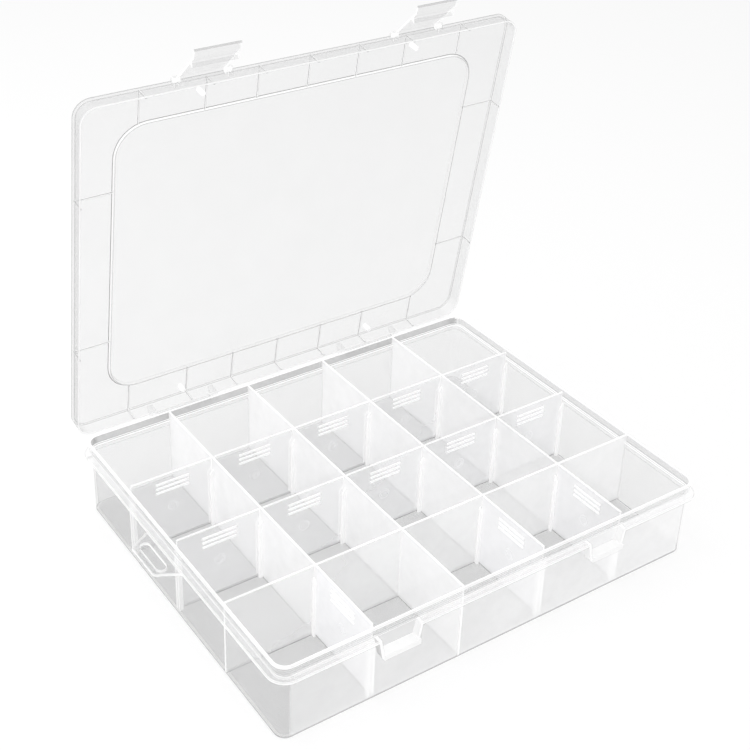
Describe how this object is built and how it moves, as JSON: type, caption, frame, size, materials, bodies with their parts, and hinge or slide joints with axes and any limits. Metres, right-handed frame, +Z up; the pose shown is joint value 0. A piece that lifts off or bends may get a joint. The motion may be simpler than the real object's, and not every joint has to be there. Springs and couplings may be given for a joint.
{
  "type": "embroidery thread box",
  "caption": "Clear plastic organiser box with a hinged lid, swing latches, a side hang tab and a grid of compartments with lift-out dividers.",
  "frame": {"origin": "middle of the tray's underside, where the box stands; the hang tab and the open lid are left out of the middle", "axes": "+Z up; +Y from the latch side in front to the hinge side at the back; +X to the right along the front"},
  "size_m": [0.364, 0.2945, 0.3604],
  "materials": {
    "clear_shell": "clear, polished",
    "clear_lid": "clear, polished",
    "frosted_divider": "clear, slightly frosted"
  },
  "bodies": {
    "tray": {"tray": "clear_shell"},
    "lid": {"lid": "clear_lid"},
    "latch_left": {"latch_left": "clear_lid"},
    "latch_right": {"latch_right": "clear_lid"},
    "divider_back_1": {"divider_back_1": "frosted_divider"},
    "divider_back_2": {"divider_back_2": "frosted_divider"},
    "divider_back_3": {"divider_back_3": "frosted_divider"},
    "divider_back_4": {"divider_back_4": "frosted_divider"},
    "divider_back_5": {"divider_back_5": "frosted_divider"},
    "divider_middle_1": {"divider_middle_1": "frosted_divider"},
    "divider_middle_2": {"divider_middle_2": "frosted_divider"},
    "divider_middle_3": {"divider_middle_3": "frosted_divider"},
    "divider_middle_4": {"divider_middle_4": "frosted_divider"},
    "divider_middle_5": {"divider_middle_5": "frosted_divider"},
    "divider_front_1": {"divider_front_1": "frosted_divider"},
    "divider_front_3": {"divider_front_3": "frosted_divider"},
    "divider_front_4": {"divider_front_4": "frosted_divider"}
  },
  "joints": [
    {"name": "lid_hinge", "type": "hinge", "parent": "tray", "child": "lid", "pos_m": [0, 0.1435, 0.0525], "axis": [-1, 0, 0], "range_deg": [-80, 100]},
    {"name": "latch_left_hinge", "type": "hinge", "parent": "lid", "child": "latch_left", "pos_m": [-0.085, 0.0995, 0.33373], "axis": [-1, 0, 0], "range_deg": [-52, 68]},
    {"name": "latch_right_hinge", "type": "hinge", "parent": "lid", "child": "latch_right", "pos_m": [0.085, 0.0995, 0.33373], "axis": [-1, 0, 0], "range_deg": [-52, 68]},
    {"name": "divider_back_1_lift", "type": "slide", "parent": "tray", "child": "divider_back_1", "axis": [0, 0, 1], "range_m": [0, 0.06]},
    {"name": "divider_back_2_lift", "type": "slide", "parent": "tray", "child": "divider_back_2", "axis": [0, 0, 1], "range_m": [0, 0.06]},
    {"name": "divider_back_3_lift", "type": "slide", "parent": "tray", "child": "divider_back_3", "axis": [0, 0, 1], "range_m": [0, 0.06]},
    {"name": "divider_back_4_lift", "type": "slide", "parent": "tray", "child": "divider_back_4", "axis": [0, 0, 1], "range_m": [0, 0.06]},
    {"name": "divider_back_5_lift", "type": "slide", "parent": "tray", "child": "divider_back_5", "axis": [0, 0, 1], "range_m": [0, 0.06]},
    {"name": "divider_middle_1_lift", "type": "slide", "parent": "tray", "child": "divider_middle_1", "axis": [0, 0, 1], "range_m": [0, 0.06]},
    {"name": "divider_middle_2_lift", "type": "slide", "parent": "tray", "child": "divider_middle_2", "axis": [0, 0, 1], "range_m": [0, 0.06]},
    {"name": "divider_middle_3_lift", "type": "slide", "parent": "tray", "child": "divider_middle_3", "axis": [0, 0, 1], "range_m": [0, 0.06]},
    {"name": "divider_middle_4_lift", "type": "slide", "parent": "tray", "child": "divider_middle_4", "axis": [0, 0, 1], "range_m": [0, 0.06]},
    {"name": "divider_middle_5_lift", "type": "slide", "parent": "tray", "child": "divider_middle_5", "axis": [0, 0, 1], "range_m": [0, 0.06]},
    {"name": "divider_front_1_lift", "type": "slide", "parent": "tray", "child": "divider_front_1", "axis": [0, 0, 1], "range_m": [0, 0.06]},
    {"name": "divider_front_3_lift", "type": "slide", "parent": "tray", "child": "divider_front_3", "axis": [0, 0, 1], "range_m": [0, 0.06]},
    {"name": "divider_front_4_lift", "type": "slide", "parent": "tray", "child": "divider_front_4", "axis": [0, 0, 1], "range_m": [0, 0.06]}
  ]
}
